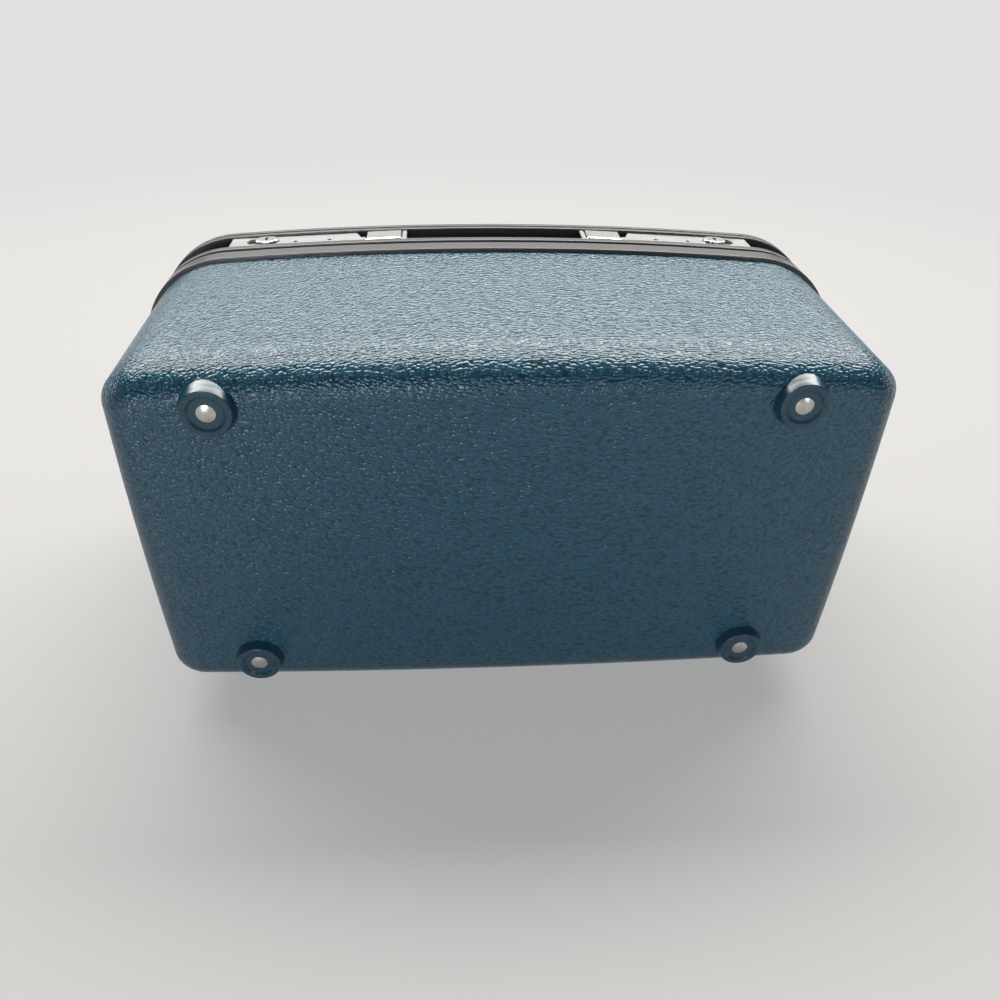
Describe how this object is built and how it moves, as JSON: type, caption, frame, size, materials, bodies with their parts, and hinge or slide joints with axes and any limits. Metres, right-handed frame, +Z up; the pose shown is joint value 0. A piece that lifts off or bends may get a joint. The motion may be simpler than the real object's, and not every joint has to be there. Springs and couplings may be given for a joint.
{
  "type": "cosmetic train case",
  "caption": "Hard-shell cosmetic case with a metal frame, recessed sliding latches, hinged lid, folding handle, mirror and lift-out tray.",
  "frame": {"origin": "on the floor under the middle of the case, as it stands on its feet", "axes": "+X along the case towards its right end as seen from the front, +Y towards the hinges, +Z up; the latches are at -Y"},
  "size_m": [0.3738, 0.2074, 0.2344],
  "materials": {
    "shell": "pebble grain, satin",
    "foot": "smooth, glossy",
    "frame": "black, satin",
    "rivet": "bright domed steel",
    "latch": "bright plated steel",
    "key_plug": "bright plated steel",
    "spring": "spring wire",
    "hinge": "plated steel",
    "lining": "woven satin on board",
    "pocket": "gathered satin",
    "tray": "moulded, semi-gloss",
    "mirror": "silvered glass",
    "mirror_frame": "moulded, semi-gloss",
    "handle": "moulded, satin",
    "handle_metal": "bright plated steel"
  },
  "bodies": {
    "base": {"back_pocket": "pocket", "base_frame": "frame", "base_hinge_leaf_left": "hinge", "base_hinge_leaf_right": "hinge", "base_hinge_rivets": "hinge", "base_lining": "lining", "base_shell": "shell", "button_springs": "spring", "foot_back_left": "foot", "foot_back_right": "foot", "foot_front_left": "foot", "foot_front_right": "foot", "foot_rivets": "rivet", "foot_washers": "rivet", "hasp_pins": "latch", "hasp_springs": "spring", "hinge_pins": "hinge", "latch_plate_left": "latch", "latch_plate_right": "latch", "latch_rivets": "rivet", "tray_ledge_left": "tray", "tray_ledge_right": "tray"},
    "lid": {"bracket_rivets": "rivet", "bracket_washers": "rivet", "handle_bracket_left": "handle_metal", "handle_bracket_right": "handle_metal", "handle_pins": "handle_metal", "lid_frame": "frame", "lid_hinge_leaf_left": "hinge", "lid_hinge_leaf_right": "hinge", "lid_hinge_rivets": "hinge", "lid_lining": "lining", "lid_shell": "shell", "mirror_frame": "mirror_frame", "mirror_glass": "mirror", "strike_left": "latch", "strike_right": "latch", "strike_rivets": "rivet"},
    "handle": {"handle_arm_left": "handle_metal", "handle_arm_right": "handle_metal", "handle_grip": "handle"},
    "hasp_right": {"hasp_right": "latch"},
    "hasp_left": {"hasp_left": "latch"},
    "button_right": {"button_right": "latch"},
    "button_left": {"button_left": "latch"},
    "key_plug_right": {"key_plug_right": "key_plug"},
    "key_plug_left": {"key_plug_left": "key_plug"},
    "tray": {"tray": "tray", "tray_dividers": "tray"}
  },
  "joints": [
    {"name": "lid_hinge", "type": "hinge", "parent": "base", "child": "lid", "pos_m": [0, 0.10113, 0.14215], "axis": [-1, 0, 0], "range_deg": [0, 100]},
    {"name": "handle_fold", "type": "hinge", "parent": "lid", "child": "handle", "pos_m": [0, 0, 0.2264], "axis": [-1, 0, 0], "range_deg": [0, 180]},
    {"name": "hasp_right_swing", "type": "hinge", "parent": "base", "child": "hasp_right", "pos_m": [0.0593, -0.10087, 0.137], "axis": [0.9987, 0.0513, 0], "range_deg": [0, 90]},
    {"name": "hasp_left_swing", "type": "hinge", "parent": "base", "child": "hasp_left", "pos_m": [-0.0593, -0.10087, 0.137], "axis": [0.9987, -0.0513, 0], "range_deg": [0, 90]},
    {"name": "button_right_slide", "type": "slide", "parent": "base", "child": "button_right", "axis": [0.9987, 0.0513, 0], "range_m": [0, 0.004], "stiffness_N_per_m": 300},
    {"name": "button_left_slide", "type": "slide", "parent": "base", "child": "button_left", "axis": [-0.9987, 0.0513, 0], "range_m": [0, 0.004], "stiffness_N_per_m": 300},
    {"name": "key_right_turn", "type": "hinge", "parent": "button_right", "child": "key_plug_right", "pos_m": [0.12146, -0.09767, 0.14215], "axis": [0.0513, -0.9987, 0], "range_deg": [0, 90]},
    {"name": "key_left_turn", "type": "hinge", "parent": "button_left", "child": "key_plug_left", "pos_m": [-0.12146, -0.09767, 0.14215], "axis": [-0.0513, -0.9987, 0], "range_deg": [0, 90]},
    {"name": "tray_lift", "type": "slide", "parent": "base", "child": "tray", "axis": [0, 0, 1], "range_m": [0, 0.026]}
  ]
}
